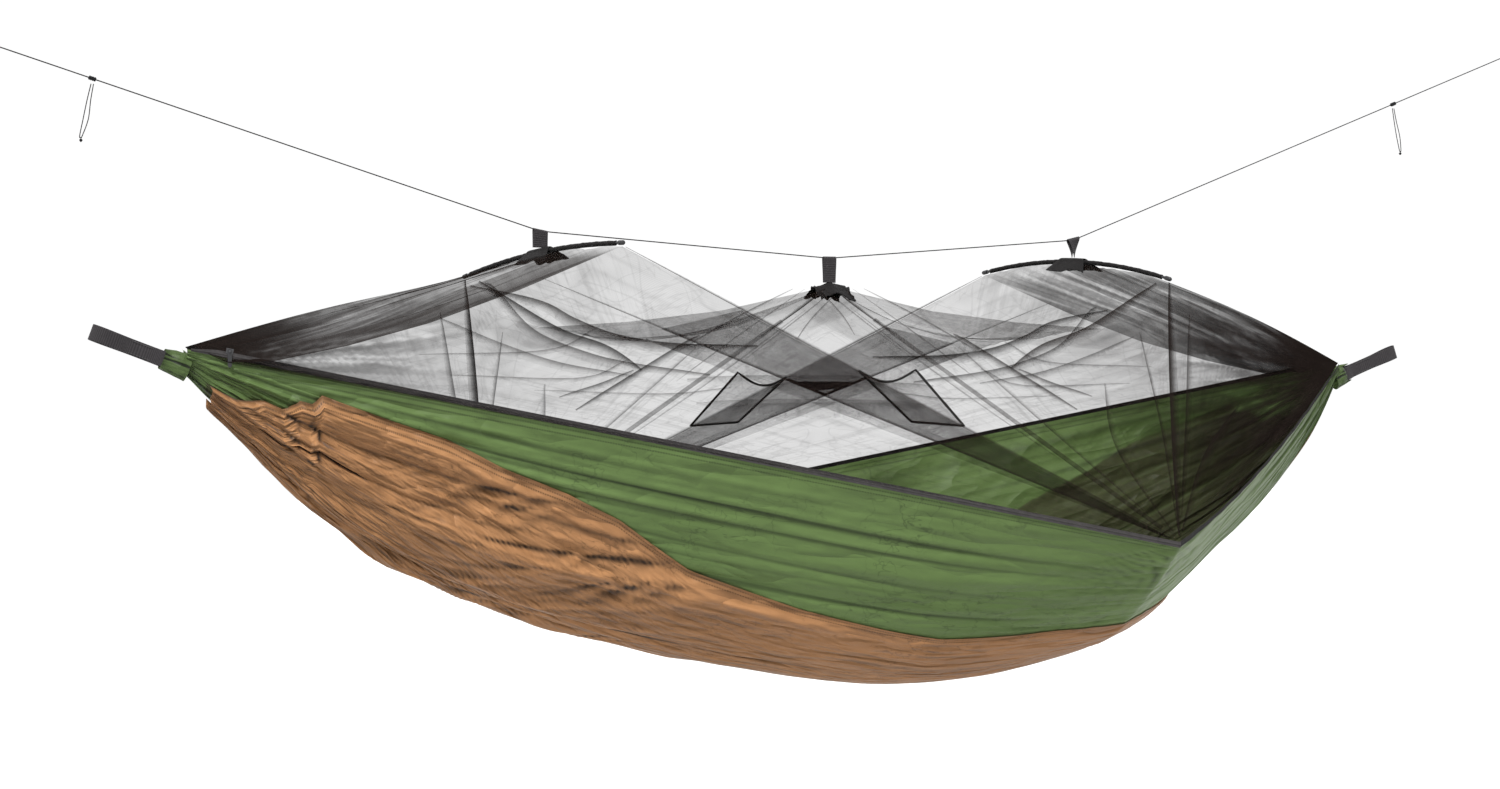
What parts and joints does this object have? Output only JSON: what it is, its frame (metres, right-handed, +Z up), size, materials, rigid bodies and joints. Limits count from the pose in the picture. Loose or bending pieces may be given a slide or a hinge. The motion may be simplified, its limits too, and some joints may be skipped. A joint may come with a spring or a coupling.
{
  "type": "camping hammock",
  "caption": "Gathered-end fabric hammock with an offset lie, an under-bed mat pocket and an insect net held up by two arched rods on a ridgeline.",
  "frame": {"origin": "middle of the inner face of the head hanging loop's bight, where the tree strap bears", "axes": "+X from the head gather to the foot gather, +Y to the far side, +Z up, as hung"},
  "size_m": [3.6691, 0.972, 1.4277],
  "materials": {
    "bed_fabric": "plain-woven nylon, slightly glossy",
    "pocket_fabric": "plain-woven nylon, slightly glossy",
    "net": "fine knitted mesh",
    "webbing": "ribbed polyester webbing",
    "tape": "matt woven tape",
    "cord": "braided cord",
    "rod": "satin",
    "cap": "satin",
    "zip": "moulded",
    "slider": "satin"
  },
  "bodies": {
    "hammock": {"bed_shell": "bed_fabric", "far_long_hem": "tape", "far_short_hem": "tape", "foot_gather_core": "bed_fabric", "foot_line_eye": "cord", "foot_line_knot": "cord", "foot_rod_cap_far": "cap", "foot_rod_cap_near": "cap", "foot_rod_sleeve": "tape", "foot_spreader_rod": "rod", "head_gather_core": "bed_fabric", "head_hanging_loop": "webbing", "head_line_eye": "cord", "head_line_knot": "cord", "head_rod_cap_far": "cap", "head_rod_cap_near": "cap", "head_rod_sleeve": "tape", "head_spreader_rod": "rod", "mat_pocket": "pocket_fabric", "near_short_hem": "tape", "near_zip_lower_tape": "zip", "near_zip_upper_tape": "zip", "net_far_side": "net", "net_loop_foot": "webbing", "net_loop_head": "webbing", "net_loop_middle": "webbing", "net_near_side": "net", "net_seam_far": "tape", "net_seam_near": "tape", "net_top_foot": "net", "net_top_head": "net", "organiser_far_binding": "tape", "organiser_far_panel": "net", "organiser_near_binding": "tape", "organiser_near_panel": "net", "patch_foot": "tape", "patch_head": "tape", "patch_middle": "tape", "ridgeline": "cord"},
    "foot_hanging_loop": {"foot_hanging_loop": "webbing"},
    "zip_slider": {"near_zip_slider": "slider"},
    "zip_pull": {"near_zip_pull": "zip"},
    "head_tensioner": {"head_tensioner": "cord"},
    "head_tail": {"head_tail_cord": "cord", "head_tail_knot": "cord"},
    "foot_tensioner": {"foot_tensioner": "cord"},
    "foot_tail": {"foot_tail_cord": "cord", "foot_tail_knot": "cord"}
  },
  "joints": [
    {"name": "foot_loop_swing", "type": "hinge", "parent": "hammock", "child": "foot_hanging_loop", "pos_m": [2.80095, 0, -0.0513], "axis": [-0.342, 0, 0.9397], "range_deg": [-75, 75]},
    {"name": "zip_slide", "type": "slide", "parent": "hammock", "child": "zip_slider", "axis": [0.9505, -0.2431, -0.1936], "range_m": [-0.03, 1.7]},
    {"name": "zip_pull_swing", "type": "hinge", "parent": "zip_slider", "child": "zip_pull", "pos_m": [0.24328, -0.03893, -0.03324], "axis": [-0.2478, -0.9688, 0], "range_deg": [-100, 100]},
    {"name": "head_tensioner_slide", "type": "slide", "parent": "hammock", "child": "head_tensioner", "axis": [-0.9617, 0, 0.2741], "range_m": [-0.55, 0.2]},
    {"name": "head_tail_swing", "type": "hinge", "parent": "head_tensioner", "child": "head_tail", "pos_m": [0.00295, 0, 0.4508], "axis": [0, 1, 0], "range_deg": [-35, 35]},
    {"name": "foot_tensioner_slide", "type": "slide", "parent": "hammock", "child": "foot_tensioner", "axis": [0.9323, 0, 0.3617], "range_m": [-0.55, 0.3]},
    {"name": "foot_tail_swing", "type": "hinge", "parent": "foot_tensioner", "child": "foot_tail", "pos_m": [2.93795, 0, 0.55799], "axis": [0, 1, 0], "range_deg": [-35, 35]}
  ]
}
